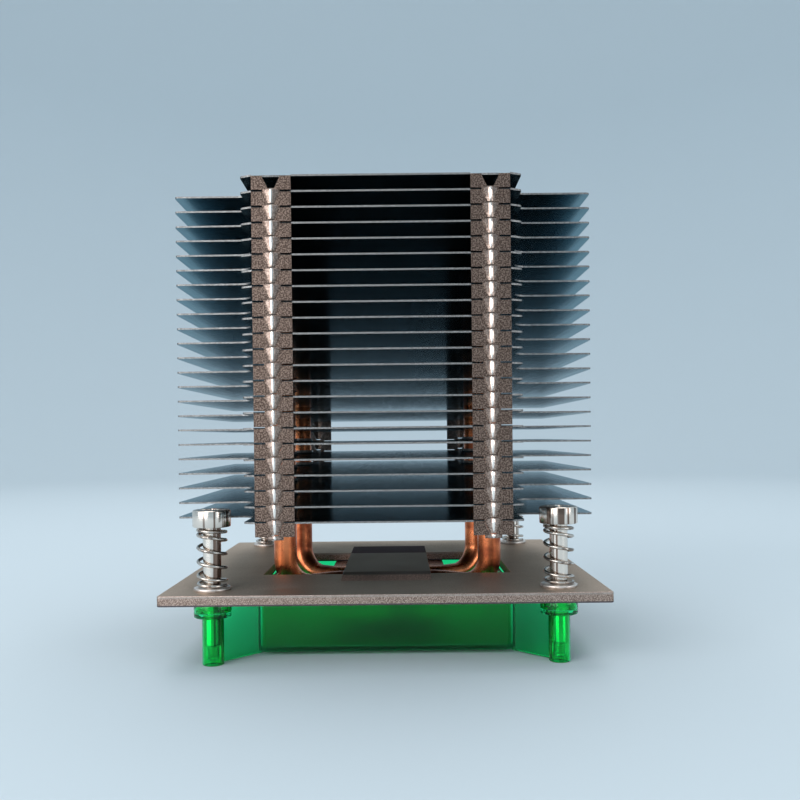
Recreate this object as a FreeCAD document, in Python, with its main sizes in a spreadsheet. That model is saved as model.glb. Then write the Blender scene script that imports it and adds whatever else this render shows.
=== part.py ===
import FreeCAD, Part
import math
import os

import Sketcher
from FreeCAD import Placement, Rotation, Vector

# Passive tower heatsink for a server processor, standing on its protective cover.
#
# Frame: the origin lies on the ground in the middle of the four cover feet, +Z is up the tower
# and -Y is the side that the air meets first. All sizes are in millimetres.
#
# From the ground up: a clear cover, a copper contact block, a steel mounting plate with a raised
# bridge between two windows, four captive screws with springs, two U-shaped heat pipes, and a
# stack of folded fins that hook into each other at four columns of flanges.

doc = FreeCAD.newDocument("server_heatsink")

# ---------------------------------------------------------------------------------------------
# Driving dimensions
# ---------------------------------------------------------------------------------------------

DIMENSIONS = (
    # protective cover
    ("CoverHeight", 14.8),        # ground to the underside of the mounting plate
    ("TrayLift", 0.8),            # ground to the underside of the tray
    ("TrayWidth", 62.4),          # outside, across X
    ("TrayDepth", 67.4),          # outside, across Y
    ("TrayWall", 1.0),
    ("TrayFloor", 1.2),
    ("WebThickness", 1.0),        # diagonal walls from the tray corners to the sleeves
    ("SleeveBore", 4.3),
    ("SleeveWall", 0.35),
    ("CollarWall", 0.45),
    ("CollarShoulder", 1.1),
    # mounting plate
    ("PlateWidth", 101.5),
    ("PlateDepth", 96.0),
    ("PlateThickness", 2.4),
    ("PlateCorner", 0.5),
    ("ScrewSpanX", 80.0),
    ("ScrewSpanY", 80.0),
    ("ScrewHole", 4.4),
    ("BridgeWidth", 21.8),
    ("BridgeFlat", 48.6),
    ("BridgeRamp", 5.7),
    ("BridgeRise", 1.3),
    ("WindowWidth", 20.7),
    ("WindowLength", 39.0),
    # contact block
    ("BlockWidth", 32.0),
    ("BlockLength", 44.0),
    ("BlockHeight", 8.4),         # below the plate
    ("BlockSideGap", 0.3),        # land of the block to the walls of the bridge
    ("PadWidth", 24.0),
    ("PadLength", 30.0),
    ("PadRise", 2.6),
    ("TroughGap", 0.3),
    # heat pipes
    ("PipeDiameter", 6.0),
    ("FrontPipeSpan", 53.6),      # left leg to right leg
    ("RearPipeSpan", 50.8),
    ("PipeLegOffset", 12.75),     # legs from the middle, along Y
    ("PipeRunOffset", 3.4),       # flat run from the middle, along Y
    ("PipeRunLength", 27.0),      # straight part of the run under the bridge
    ("PipeRunDrop", 2.3),         # underside of the plate down to the axis of the run
    ("PipeElbow", 8.0),
    ("PipeSweep", 10.0),          # radius of the sideways bend
    ("PipeProud", 1.6),           # sealed end over the top fin
    ("PipeEndTaper", 1.2),
    # fins
    ("FinLift", 16.1),            # top of the plate to the underside of the lowest fin
    ("FinPitch", 3.44),
    ("FinThickness", 0.4),
    ("FinDepth", 102.0),          # front flanges to rear flanges
    ("FinBodyWidth", 61.6),       # between the tips of the teeth
    ("FinWingWidth", 98.2),
    ("FinWingDepth", 69.0),
    ("FinWingFillet", 3.5),
    ("FinToothSlope", 1.2),
    ("FinHoleGap", 0.1),
    ("ColumnWidth", 8.65),
    ("ColumnSpan", 47.75),        # middle of the left column to the middle of the right one
    ("FlangeSlit", 0.08),
    ("NotchWidth", 3.84),
    ("NotchTipWidth", 1.36),
    ("NotchDepth", 3.0),
    ("TongueGap", 0.08),          # tongue to notch, on each side
    ("TongueLength", 2.6),
    ("TrimmedTongue", 0.7),       # tongue of the lowest fin, which has nothing to hook into
    # captive screws
    ("HeadDiameter", 9.0),
    ("HeadHeight", 3.95),
    ("RecessWidth", 1.1),
    ("RecessLength", 5.0),
    ("RecessDepth", 2.2),
    ("ShankDiameter", 3.9),
    ("ThreadDiameter", 3.0),
    ("ThreadLength", 3.3),
    ("FootGap", 1.2),             # screw tip over the ground
    ("GrooveDiameter", 2.9),
    ("SpringLength", 13.9),
    ("SpringDiameter", 7.1),
    ("SpringWire", 0.75),
    ("SpringEndPitch", 1.15),      # in the closed turns at both ends
    ("WasherDiameter", 9.0),
    ("WasherBore", 4.3),
    ("WasherThickness", 0.7),
    ("RingDiameter", 7.0),
    ("RingThickness", 0.5),
    ("RingBoreGap", 0.1),         # ring bore to the groove, all round
    ("RingMouth", 2.2),
    ("RingToCollar", 0.35),
    ("PressTravel", 2.0),         # how far a screw can be pushed down against its spring
    ("PressStop", 0.2),
)

FIN_COUNT = 23
HOLE_SIDES = 6        # pipe holes in the fins
SMALL_SIDES = 12      # sleeves, shanks, rings and pipes
HEAD_SIDES = 16       # screw heads and washers
COIL_CHORDS = 8       # chords in one turn of a spring
ELBOW_CHORDS = 5      # chords in a pipe's right-angled bend
SWEEP_CHORDS = 2      # chords in its shallow bend
MITRED = 1            # the way that a sweep turns a corner
END_TURNS = 1.25      # closed turns at each end of a spring
OPEN_TURNS = 3        # open turns between them

sheet = doc.addObject("Spreadsheet::Sheet", "Sizes")
for row, (alias, value) in enumerate(DIMENSIONS, start=1):
    sheet.set("A%d" % row, alias)
    sheet.set("B%d" % row, str(value))
    sheet.setAlias("B%d" % row, alias)
doc.recompute()


def size(alias):
    """The number that the sheet holds under this alias."""
    return float(getattr(sheet, alias))


# ---------------------------------------------------------------------------------------------
# Heights that several pieces share, as expressions on the sheet
# ---------------------------------------------------------------------------------------------

PLATE_TOP = "(Sizes.CoverHeight + Sizes.PlateThickness)"
WASHER_TOP = "(%s + Sizes.WasherThickness)" % PLATE_TOP
HEAD_BASE = "(%s + Sizes.SpringLength)" % WASHER_TOP
HEAD_TOP = "(%s + Sizes.HeadHeight)" % HEAD_BASE
COLLAR_DEPTH = "(Sizes.RingThickness + Sizes.PressTravel + Sizes.PressStop)"
COLLAR_BASE = "(Sizes.CoverHeight - %s - Sizes.CollarShoulder)" % COLLAR_DEPTH
COLLAR_BORE = "(Sizes.RingDiameter + 2 * Sizes.RingToCollar)"
PIPE_RUN = "(Sizes.CoverHeight - Sizes.PipeRunDrop)"
FIN_START = "(%s + Sizes.FinLift)" % PLATE_TOP

CORNERS = (("front_left", -1, -1), ("front_right", 1, -1), ("rear_left", -1, 1), ("rear_right", 1, 1))


# ---------------------------------------------------------------------------------------------
# Small helpers for bound features
# ---------------------------------------------------------------------------------------------

def corner_place(side_x, side_y):
    """Where a screw stands, as two expressions."""
    return "%d * Sizes.ScrewSpanX / 2" % side_x, "%d * Sizes.ScrewSpanY / 2" % side_y


def bind(feature, **expressions):
    """Set each named property of a feature to an expression."""
    for name, expression in expressions.items():
        feature.setExpression(name.replace("__", "."), expression)


def place(feature, x="0", y="0", z="0"):
    """Bind the base point of a feature's placement."""
    bind(feature, Placement__Base__x=x, Placement__Base__y=y, Placement__Base__z=z)


def box(name, length, width, height, x, y, z):
    """A block that is centred on x and y and stands on z."""
    feature = doc.addObject("Part::Box", name)
    bind(feature, Length=length, Width=width, Height=height)
    place(feature, "(%s) - (%s) / 2" % (x, length), "(%s) - (%s) / 2" % (y, width), z)
    return feature


def prism(name, sides, diameter, height, x, y, z):
    """A many-sided bar that stands on z, its corners on the given diameter."""
    feature = doc.addObject("Part::Prism", name)
    feature.Polygon = sides
    bind(feature, Circumradius="(%s) / 2" % diameter, Height=height)
    place(feature, x, y, z)
    return feature


def hole_prism(name, sides, bore, height, x, y, z):
    """A many-sided hole whose flats lie on the given bore."""
    corners = "(%s) / %.9f" % (bore, math.cos(math.pi / sides))
    return prism(name, sides, corners, height, x, y, z)


def fuse(name, features):
    feature = doc.addObject("Part::MultiFuse", name)
    feature.Shapes = features
    feature.Refine = True
    return feature


def cut(name, base, tool):
    feature = doc.addObject("Part::Cut", name)
    feature.Base = base
    feature.Tool = tool
    feature.Refine = True
    return feature


def sketch_on(body, name, role):
    """A sketch on one of the body's own origin planes."""
    sketch = body.newObject("Sketcher::SketchObject", name)
    plane = [entry for entry in body.Origin.OriginFeatures if entry.Role == role][0]
    sketch.AttachmentSupport = [(plane, "")]
    sketch.MapMode = "FlatFace"
    return sketch


def polygon(sketch, corners):
    """A closed outline whose corners are pairs of expressions, each bound to the sketch origin."""
    points = []
    for across, along in corners:
        spot = Vector(float(sketch.evalExpression(across)), float(sketch.evalExpression(along)), 0)
        points.append(spot)
    first = sketch.GeometryCount
    count = len(points)
    for index, point in enumerate(points):
        sketch.addGeometry(Part.LineSegment(point, points[(index + 1) % count]), False)
    for index in range(count):
        following = first + (index + 1) % count
        sketch.addConstraint(Sketcher.Constraint("Coincident", first + index, 2, following, 1))
    for index, (across, along) in enumerate(corners):
        for kind, expression, value in (
            ("DistanceX", across, points[index].x),
            ("DistanceY", along, points[index].y),
        ):
            number = sketch.addConstraint(
                Sketcher.Constraint(kind, -1, 1, first + index, 1, value)
            )
            sketch.setExpression("Constraints[%d]" % number, expression)


def circle(sketch, x, y, diameter):
    """A circle bound to the sketch origin."""
    centre = Vector(float(sketch.evalExpression(x)), float(sketch.evalExpression(y)), 0)
    radius = float(sketch.evalExpression(diameter)) / 2
    entry = sketch.addGeometry(Part.Circle(centre, Vector(0, 0, 1), radius), False)
    for kind, expression, value in (("DistanceX", x, centre.x), ("DistanceY", y, centre.y)):
        number = sketch.addConstraint(Sketcher.Constraint(kind, -1, 1, entry, 3, value))
        sketch.setExpression("Constraints[%d]" % number, expression)
    number = sketch.addConstraint(Sketcher.Constraint("Diameter", entry, 2 * radius))
    sketch.setExpression("Constraints[%d]" % number, diameter)


def pad(body, name, sketch, length, symmetric=False, reverse=False):
    feature = body.newObject("PartDesign::Pad", name)
    feature.Profile = sketch
    feature.Midplane = symmetric
    feature.Reversed = reverse
    bind(feature, Length=length)
    return feature


def through_pocket(body, name, sketch):
    """A pocket that goes right through, both ways from its sketch."""
    feature = body.newObject("PartDesign::Pocket", name)
    feature.Profile = sketch
    feature.Type = "ThroughAll"
    feature.Midplane = True
    return feature


def solid_feature(label, shape, z="0"):
    """A piece whose shape comes from Part's own functions, placed by an expression."""
    feature = doc.addObject("Part::Feature", label)
    feature.Label = label
    feature.Shape = shape
    place(feature, "0", "0", z)
    return feature


pieces = []


def keep(feature, label):
    """Give a finished piece the name of its file."""
    feature.Label = label
    pieces.append(feature)
    return feature


# ---------------------------------------------------------------------------------------------
# Mounting plate: sheared steel, with a bridge pressed up between two windows
# ---------------------------------------------------------------------------------------------

def mirrored_corners(quarter):
    """A closed outline from its corners in the quarter where x and y are both positive.

    The quarter runs from the y side round to the x side.
    """
    back = list(reversed(quarter))
    outline = [(x, "-(%s)" % y) for x, y in quarter]
    outline += [(x, y) for x, y in back]
    outline += [("-(%s)" % x, y) for x, y in quarter]
    outline += [("-(%s)" % x, "-(%s)" % y) for x, y in back]
    return outline


def make_mounting_plate():
    body = doc.addObject("PartDesign::Body", "mounting_plate")
    outline = sketch_on(body, "PlateOutline", "XY_Plane")
    half_x = "Sizes.PlateWidth / 2"
    half_y = "Sizes.PlateDepth / 2"
    corner = [
        ("%s - Sizes.PlateCorner" % half_x, half_y),
        (half_x, "%s - Sizes.PlateCorner" % half_y),
    ]
    polygon(outline, mirrored_corners(corner))
    pad(body, "PlateSheet", outline, "Sizes.PlateThickness")

    windows = sketch_on(body, "Windows", "XY_Plane")
    inner = "Sizes.BridgeWidth / 2"
    outer = "(Sizes.BridgeWidth / 2 + Sizes.WindowWidth)"
    bridge_end = "(Sizes.BridgeFlat / 2 + Sizes.BridgeRamp)"
    half_window = "Sizes.WindowLength / 2"
    polygon(
        windows,
        mirrored_corners([(inner, bridge_end), (inner, half_window), (outer, half_window)]),
    )
    through_pocket(body, "WindowOpening", windows)

    bridge = sketch_on(body, "BridgeProfile", "YZ_Plane")
    half_flat = "Sizes.BridgeFlat / 2"
    risen = "Sizes.BridgeRise"
    top = "Sizes.PlateThickness"
    risen_top = "(Sizes.PlateThickness + Sizes.BridgeRise)"
    polygon(
        bridge,
        [
            ("-" + bridge_end, "0"),
            ("-" + half_flat, risen),
            (half_flat, risen),
            (bridge_end, "0"),
            (bridge_end, top),
            (half_flat, risen_top),
            ("-" + half_flat, risen_top),
            ("-" + bridge_end, top),
        ],
    )
    pad(body, "Bridge", bridge, "Sizes.BridgeWidth", symmetric=True)

    holes = sketch_on(body, "ScrewHoles", "XY_Plane")
    for _, side_x, side_y in CORNERS:
        x, y = corner_place(side_x, side_y)
        circle(holes, x, y, "Sizes.ScrewHole")
    body.Tip = through_pocket(body, "ScrewClearance", holes)
    place(body, z="Sizes.CoverHeight")
    return body


keep(make_mounting_plate(), "mounting_plate")


# ---------------------------------------------------------------------------------------------
# Contact block: copper, with a land that fills the bridge and a trough for both pipes
# ---------------------------------------------------------------------------------------------

def make_contact_block():
    block_base = "Sizes.CoverHeight - Sizes.BlockHeight"
    base = box(
        "BlockBase", "Sizes.BlockWidth", "Sizes.BlockLength", "Sizes.BlockHeight",
        "0", "0", block_base,
    )
    land = box(
        "BlockLand", "Sizes.BridgeWidth - 2 * Sizes.BlockSideGap", "Sizes.BlockLength",
        "Sizes.BridgeRise", "0", "0", "Sizes.CoverHeight",
    )
    pad_face = box(
        "BlockPad", "Sizes.PadWidth", "Sizes.PadLength", "Sizes.PadRise",
        "0", "0", "%s - Sizes.PadRise" % block_base,
    )
    whole = fuse("BlockWhole", [base, land, pad_face])
    pipe_base = "(%s - Sizes.PipeDiameter / 2)" % PIPE_RUN
    trough = box(
        "PipeTrough", "2 * Sizes.BlockWidth", TROUGH_WIDTH,
        "Sizes.CoverHeight + Sizes.BridgeRise - %s" % pipe_base, "0", "0", pipe_base,
    )
    return cut("contact_block", whole, trough)


# The pipes leave the block on a slant, so the trough is as wide as they are at its ends.
SLANT_LENGTH = "(min(Sizes.FrontPipeSpan; Sizes.RearPipeSpan) / 2 - Sizes.PipeRunLength / 2)"
SLANT_RATIO = "((Sizes.PipeLegOffset - Sizes.PipeRunOffset) / %s)" % SLANT_LENGTH
OFFSET_AT_BLOCK = (
    "(Sizes.PipeRunOffset + %s * (Sizes.BlockWidth - Sizes.PipeRunLength) / 2)" % SLANT_RATIO
)
TROUGH_WIDTH = "2 * (%s + Sizes.PipeDiameter / 2 * sqrt(1 + %s ^ 2) + Sizes.TroughGap)" % (
    OFFSET_AT_BLOCK,
    SLANT_RATIO,
)

keep(make_contact_block(), "contact_block")


# ---------------------------------------------------------------------------------------------
# Protective cover: one clear moulding, a tray round the block and a sleeve for each screw
# ---------------------------------------------------------------------------------------------

def make_cover():
    tray = box("Tray", "Sizes.TrayWidth", "Sizes.TrayDepth", "Sizes.CoverHeight - Sizes.TrayLift",
               "0", "0", "Sizes.TrayLift")
    solids = [tray]
    bores = [
        box(
            "TrayHollow", "Sizes.TrayWidth - 2 * Sizes.TrayWall",
            "Sizes.TrayDepth - 2 * Sizes.TrayWall", "Sizes.CoverHeight", "0", "0",
            "Sizes.TrayLift + Sizes.TrayFloor",
        )
    ]
    for name, side_x, side_y in CORNERS:
        x, y = corner_place(side_x, side_y)
        solids.append(
            hole_prism("Sleeve_" + name, SMALL_SIDES, "Sizes.SleeveBore + 2 * Sizes.SleeveWall",
                       "Sizes.CoverHeight", x, y, "0")
        )
        solids.append(
            hole_prism("Collar_" + name, SMALL_SIDES, "%s + 2 * Sizes.CollarWall" % COLLAR_BORE,
                       "Sizes.CoverHeight - %s" % COLLAR_BASE, x, y, COLLAR_BASE)
        )
        bores.append(
            hole_prism("Bore_" + name, SMALL_SIDES, "Sizes.SleeveBore", "Sizes.CoverHeight",
                       x, y, "0")
        )
        bores.append(
            hole_prism("Well_" + name, SMALL_SIDES, COLLAR_BORE, COLLAR_DEPTH, x, y,
                       "Sizes.CoverHeight - %s" % COLLAR_DEPTH)
        )
        solids.append(make_web(name, side_x, side_y))
    return cut("protective_cover", fuse("CoverWalls", solids), fuse("CoverBores", bores))


def make_web(name, side_x, side_y):
    """The diagonal wall from a tray corner to its sleeve, which reaches lower than the tray."""
    web = doc.addObject("Part::Wedge", "Web_" + name)
    reach_x = "(Sizes.ScrewSpanX / 2 - Sizes.TrayWidth / 2 + Sizes.TrayWall / 2)"
    reach_y = "(Sizes.ScrewSpanY / 2 - Sizes.TrayDepth / 2 + Sizes.TrayWall / 2)"
    bind(
        web,
        Xmin="-Sizes.WebThickness / 2",
        Xmax="Sizes.WebThickness / 2",
        X2min="-Sizes.WebThickness / 2",
        X2max="Sizes.WebThickness / 2",
        Ymin="0",
        Ymax="sqrt(%s ^ 2 + %s ^ 2)" % (reach_x, reach_y),
        Zmin="Sizes.TrayLift",
        Zmax="Sizes.CoverHeight",
        Z2min="0",
        Z2max="Sizes.CoverHeight",
    )
    web.Placement = Placement(Vector(0, 0, 0), Rotation(Vector(0, 0, 1), 0))
    turn = "atan2(%d * %s; %d * %s)" % (side_y, reach_y, side_x, reach_x)
    bind(web, Placement__Rotation__Angle="%s - 90 deg" % turn)
    place(
        web,
        "%d * (Sizes.ScrewSpanX / 2 - %s)" % (side_x, reach_x),
        "%d * (Sizes.ScrewSpanY / 2 - %s)" % (side_y, reach_y),
        "0",
    )
    return web


keep(make_cover(), "protective_cover")


# ---------------------------------------------------------------------------------------------
# Captive screws: turned, with a neck groove for the retaining ring and a thin threaded end
# ---------------------------------------------------------------------------------------------

def make_screw(name, side_x, side_y):
    x, y = corner_place(side_x, side_y)
    thread_top = "(Sizes.FootGap + Sizes.ThreadLength)"
    groove_base = "(Sizes.CoverHeight - Sizes.RingThickness)"
    lengths = (
        ("Thread", SMALL_SIDES, "Sizes.ThreadDiameter", "Sizes.FootGap", thread_top),
        ("Shank", SMALL_SIDES, "Sizes.ShankDiameter", thread_top, groove_base),
        ("Neck", SMALL_SIDES, "Sizes.GrooveDiameter", groove_base, "Sizes.CoverHeight"),
        ("Stem", SMALL_SIDES, "Sizes.ShankDiameter", "Sizes.CoverHeight", HEAD_BASE),
        ("Head", HEAD_SIDES, "Sizes.HeadDiameter", HEAD_BASE, HEAD_TOP),
    )
    turned = [
        prism("%s_%s" % (part, name), sides, diameter, "%s - %s" % (high, low), x, y, low)
        for part, sides, diameter, low, high in lengths
    ]
    base = "%s - Sizes.RecessDepth" % HEAD_TOP
    slots = [
        box("SlotX_" + name, "Sizes.RecessLength", "Sizes.RecessWidth", "Sizes.RecessDepth",
            x, y, base),
        box("SlotY_" + name, "Sizes.RecessWidth", "Sizes.RecessLength", "Sizes.RecessDepth",
            x, y, base),
    ]
    return cut("captive_screw_" + name, fuse("Turned_" + name, turned),
               fuse("Recess_" + name, slots))


def make_ring(name, side_x, side_y):
    """The open clip in the neck of a screw, its mouth towards the nearer long side."""
    x, y = corner_place(side_x, side_y)
    base = "(Sizes.CoverHeight - Sizes.RingThickness)"
    bore = "Sizes.GrooveDiameter + 2 * Sizes.RingBoreGap"
    disc = prism("RingDisc_" + name, SMALL_SIDES, "Sizes.RingDiameter", "Sizes.RingThickness",
                 x, y, base)
    hole = hole_prism("RingBore_" + name, SMALL_SIDES, bore, "Sizes.RingThickness", x, y, base)
    mouth = box("RingMouth_" + name, "Sizes.RingMouth", "Sizes.RingDiameter",
                "Sizes.RingThickness", x, "%s + %d * Sizes.RingDiameter / 2" % (y, side_y), base)
    return cut("retaining_ring_" + name, disc, fuse("RingOpening_" + name, [hole, mouth]))


def make_washers():
    """The four washers, which all lie on the plate."""
    discs = []
    holes = []
    for name, side_x, side_y in CORNERS:
        x, y = corner_place(side_x, side_y)
        discs.append(prism("WasherDisc_" + name, HEAD_SIDES, "Sizes.WasherDiameter",
                           "Sizes.WasherThickness", x, y, PLATE_TOP))
        holes.append(hole_prism("WasherHole_" + name, SMALL_SIDES, "Sizes.WasherBore",
                                "Sizes.WasherThickness", x, y, PLATE_TOP))
    return cut("spring_washers", fuse("WasherDiscs", discs), fuse("WasherHoles", holes))


def spring_shape():
    """A left-hand compression spring in square-section chords, with closed ends."""
    wire = size("SpringWire")
    mean_radius = (size("SpringDiameter") - wire) / 2
    close_pitch = size("SpringEndPitch")
    close_rise = END_TURNS * close_pitch
    open_rise = size("SpringLength") - wire - 2 * close_rise
    turns = 2 * END_TURNS + OPEN_TURNS
    steps = round(turns * COIL_CHORDS)

    def height(turn):
        if turn <= END_TURNS:
            return turn * close_pitch
        if turn <= END_TURNS + OPEN_TURNS:
            return close_rise + (turn - END_TURNS) * open_rise / OPEN_TURNS
        return close_rise + open_rise + (turn - END_TURNS - OPEN_TURNS) * close_pitch

    sections = []
    for step in range(steps + 1):
        turn = step / COIL_CHORDS
        angle = -2 * math.pi * turn
        rise = wire / 2 + height(turn)
        ring = []
        for out, up in ((-1, -1), (-1, 1), (1, 1), (1, -1)):
            radius = mean_radius + out * wire / 2
            ring.append(
                Vector(radius * math.cos(angle), radius * math.sin(angle), rise + up * wire / 2)
            )
        sections.append(ring)

    faces = [flat_face(list(reversed(sections[0]))), flat_face(sections[-1])]
    for lower, upper in zip(sections, sections[1:]):
        for corner in range(4):
            following = (corner + 1) % 4
            faces.append(flat_face([lower[corner], lower[following], upper[corner]]))
            faces.append(flat_face([lower[following], upper[following], upper[corner]]))
    return Part.makeSolid(Part.makeShell(faces))


def flat_face(points):
    return Part.Face(Part.makePolygon(points + points[:1]))


spring = spring_shape()
for name, side_x, side_y in CORNERS:
    keep(make_screw(name, side_x, side_y), "captive_screw_" + name)
    keep(make_ring(name, side_x, side_y), "retaining_ring_" + name)
    coil = solid_feature("screw_spring_" + name, spring.copy())
    x, y = corner_place(side_x, side_y)
    place(coil, x, y, WASHER_TOP)
    keep(coil, "screw_spring_" + name)
keep(make_washers(), "spring_washers")


# ---------------------------------------------------------------------------------------------
# Heat pipes: one U each, two legs up through the fins and a run under the bridge
# ---------------------------------------------------------------------------------------------

def rounded_path(corners, bends):
    """Straight runs joined by tangent bends, each of a radius and a number of chords."""
    points = [corners[0]]
    for before, corner, after, (radius, chords) in zip(corners, corners[1:], corners[2:], bends):
        inward = (before - corner).normalize()
        outward = (after - corner).normalize()
        half_turn = (math.pi - inward.getAngle(outward)) / 2
        reach = radius * math.tan(half_turn)
        bisector = (inward + outward).normalize()
        middle = corner + bisector * (radius / math.cos(half_turn) - radius)
        bend = Part.Arc(corner + inward * reach, middle, corner + outward * reach).toShape()
        points += bend.discretize(Number=chords + 1)
    return Part.makePolygon(points + [corners[-1]])


def many_sided(radius, middle):
    """A level outline with its corners on a circle round the middle."""
    corners = [
        middle + Vector(radius * math.cos(angle), radius * math.sin(angle), 0)
        for angle in (2 * math.pi * side / SMALL_SIDES for side in range(SMALL_SIDES + 1))
    ]
    return Part.makePolygon(corners)


def pipe_shape(side_y, span):
    """One U-shaped pipe with tapered, sealed ends."""
    radius = size("PipeDiameter") / 2
    taper = size("PipeEndTaper")
    leg_x = span / 2
    leg_y = side_y * size("PipeLegOffset")
    run_x = size("PipeRunLength") / 2
    run_y = side_y * size("PipeRunOffset")
    run_z = size("CoverHeight") - size("PipeRunDrop")
    plate_top = size("CoverHeight") + size("PlateThickness")
    stack = (FIN_COUNT - 1) * size("FinPitch") + size("FinThickness")
    top = plate_top + size("FinLift") + stack + size("PipeProud") - taper
    corners = [
        Vector(-leg_x, leg_y, top),
        Vector(-leg_x, leg_y, run_z),
        Vector(-run_x, run_y, run_z),
        Vector(run_x, run_y, run_z),
        Vector(leg_x, leg_y, run_z),
        Vector(leg_x, leg_y, top),
    ]
    elbow = (size("PipeElbow"), ELBOW_CHORDS)
    sweep = (size("PipeSweep"), SWEEP_CHORDS)
    path = rounded_path(corners, [elbow, sweep, sweep, elbow])
    tube = path.makePipeShell([many_sided(radius, corners[0])], True, False, MITRED)
    rise = Vector(0, 0, taper)
    ends = [
        Part.makeLoft([many_sided(radius, corner), many_sided(radius - taper, corner + rise)],
                      True, True)
        for corner in (corners[0], corners[-1])
    ]
    return tube.fuse(ends).removeSplitter()


for name, side_y in (("front", -1), ("rear", 1)):
    span = size("FrontPipeSpan") if side_y < 0 else size("RearPipeSpan")
    pipe = solid_feature("heat_pipe_" + name, pipe_shape(side_y, span))
    keep(pipe, "heat_pipe_" + name)


# ---------------------------------------------------------------------------------------------
# Fins: one folded sheet each, hooked to the next by a tongue in every flange
# ---------------------------------------------------------------------------------------------

def fin_outline():
    front = "(Sizes.FinDepth / 2 - Sizes.FinThickness)"
    column_side = "(Sizes.ColumnSpan / 2 + Sizes.ColumnWidth / 2)"
    tooth = "Sizes.FinBodyWidth / 2"
    wing_x = "Sizes.FinWingWidth / 2"
    wing_y = "Sizes.FinWingDepth / 2"
    return mirrored_corners([
        (column_side, front),
        (tooth, "%s - Sizes.FinToothSlope" % front),
        (tooth, "%s + Sizes.FinWingFillet" % wing_y),
        ("%s + Sizes.FinWingFillet" % tooth, wing_y),
        (wing_x, wing_y),
    ])


def hole_outline(side_x, side_y):
    """A many-sided hole that a pipe just passes through."""
    inner = "(Sizes.PipeDiameter / 2 + Sizes.FinHoleGap)"
    outer = "%s / %.9f" % (inner, math.cos(math.pi / HOLE_SIDES))
    span = "Sizes.FrontPipeSpan" if side_y < 0 else "Sizes.RearPipeSpan"
    corners = []
    for side in range(HOLE_SIDES):
        angle = 2 * math.pi * (side + 0.5) / HOLE_SIDES
        corners.append((
            "%d * %s / 2 + %.9f * %s" % (side_x, span, math.cos(angle), outer),
            "%d * Sizes.PipeLegOffset + %.9f * %s" % (side_y, math.sin(angle), outer),
        ))
    return corners


def flange_outline(side_x, tongue_length):
    """One flange seen from the front: a notch at the fold and a tongue below."""
    middle = "%d * Sizes.ColumnSpan / 2" % side_x
    top = "Sizes.FinThickness"
    bottom = "(Sizes.FinThickness + Sizes.FlangeSlit - Sizes.FinPitch)"
    half = "Sizes.ColumnWidth / 2"
    notch = "Sizes.NotchWidth / 2"
    notch_tip = "Sizes.NotchTipWidth / 2"
    tongue = "(Sizes.NotchWidth / 2 - Sizes.TongueGap)"
    narrowing = "(Sizes.NotchWidth - Sizes.NotchTipWidth) / 2 / Sizes.NotchDepth"
    tongue_tip = "(%s - %s * %s)" % (tongue, narrowing, tongue_length)
    right = [
        (half, bottom),
        (half, top),
        (notch, top),
        (notch_tip, "%s - Sizes.NotchDepth" % top),
    ]
    tip = [(tongue_tip, "%s - %s" % (bottom, tongue_length)), (tongue, bottom)]
    outline = [("%s + %s" % (middle, x), y) for x, y in tip + right]
    outline += [("%s - %s" % (middle, x), y) for x, y in reversed(tip + right)]
    return outline


def make_fin(label, tongue_length):
    body = doc.addObject("PartDesign::Body", label)
    outline = sketch_on(body, "Outline_" + label, "XY_Plane")
    polygon(outline, fin_outline())
    for _, side_x, side_y in CORNERS:
        polygon(outline, hole_outline(side_x, side_y))
    pad(body, "Sheet_" + label, outline, "Sizes.FinThickness")

    folds = sketch_on(body, "Flanges_" + label, "XZ_Plane")
    bind(folds, AttachmentOffset__Base__z="Sizes.FinDepth / 2 - Sizes.FinThickness")
    for side_x in (-1, 1):
        polygon(folds, flange_outline(side_x, tongue_length))
    front = pad(body, "FrontFlanges_" + label, folds, "Sizes.FinThickness")

    rear = body.newObject("PartDesign::Mirrored", "RearFlanges_" + label)
    rear.Originals = [front]
    plane = [entry for entry in body.Origin.OriginFeatures if entry.Role == "XZ_Plane"][0]
    rear.MirrorPlane = (plane, [""])
    body.Tip = rear
    place(body, z=FIN_START)
    return body


lowest = make_fin("fin_01", "Sizes.TrimmedTongue")
second = make_fin("fin_02", "Sizes.TongueLength")
place(second, z=FIN_START + " + Sizes.FinPitch")
doc.recompute()
keep(lowest, "fin_01")
keep(second, "fin_02")

fin_shape = second.Shape.copy()
fin_shape.Placement = Placement()
for number in range(3, FIN_COUNT + 1):
    label = "fin_%02d" % number
    rise = "%s + %d * Sizes.FinPitch" % (FIN_START, number - 1)
    keep(solid_feature(label, fin_shape.copy(), rise), label)

doc.recompute()

# ---------------------------------------------------------------------------------------------
# Check and write
# ---------------------------------------------------------------------------------------------

for entry in doc.Objects:
    for trouble in ("Invalid", "Error"):
        if trouble in entry.State:
            raise RuntimeError("%s did not build: %s" % (entry.Label, entry.State))

for piece in pieces:
    shape = piece.Shape
    if shape.isNull() or not shape.isValid() or not shape.Solids:
        raise RuntimeError("%s has no valid solid" % piece.Label)

os.makedirs("parts", exist_ok=True)
for piece in pieces:
    piece.Shape.exportStep("parts/%s.step" % piece.Label)
    box_of_piece = piece.Shape.BoundBox
    print("%-32s %d solid  %9.1f mm3  z %.2f to %.2f" % (
        piece.Label, len(piece.Shape.Solids), piece.Shape.Volume, box_of_piece.ZMin, box_of_piece.ZMax
    ))
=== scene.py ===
# %% [markdown]
# # A passive tower heatsink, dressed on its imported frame
#
# The construction is finished before this script starts: every piece has its size, its place and
# its joints. This script gives each piece its real surface. It replaces the plain solids by
# meshes that are made the way the real pieces are made: sheets are blanked and folded, pipes are
# bent, screws are turned and springs are wound.

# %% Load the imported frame
import math
import random

import bmesh
import bpy
from mathutils import Matrix, Vector


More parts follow.
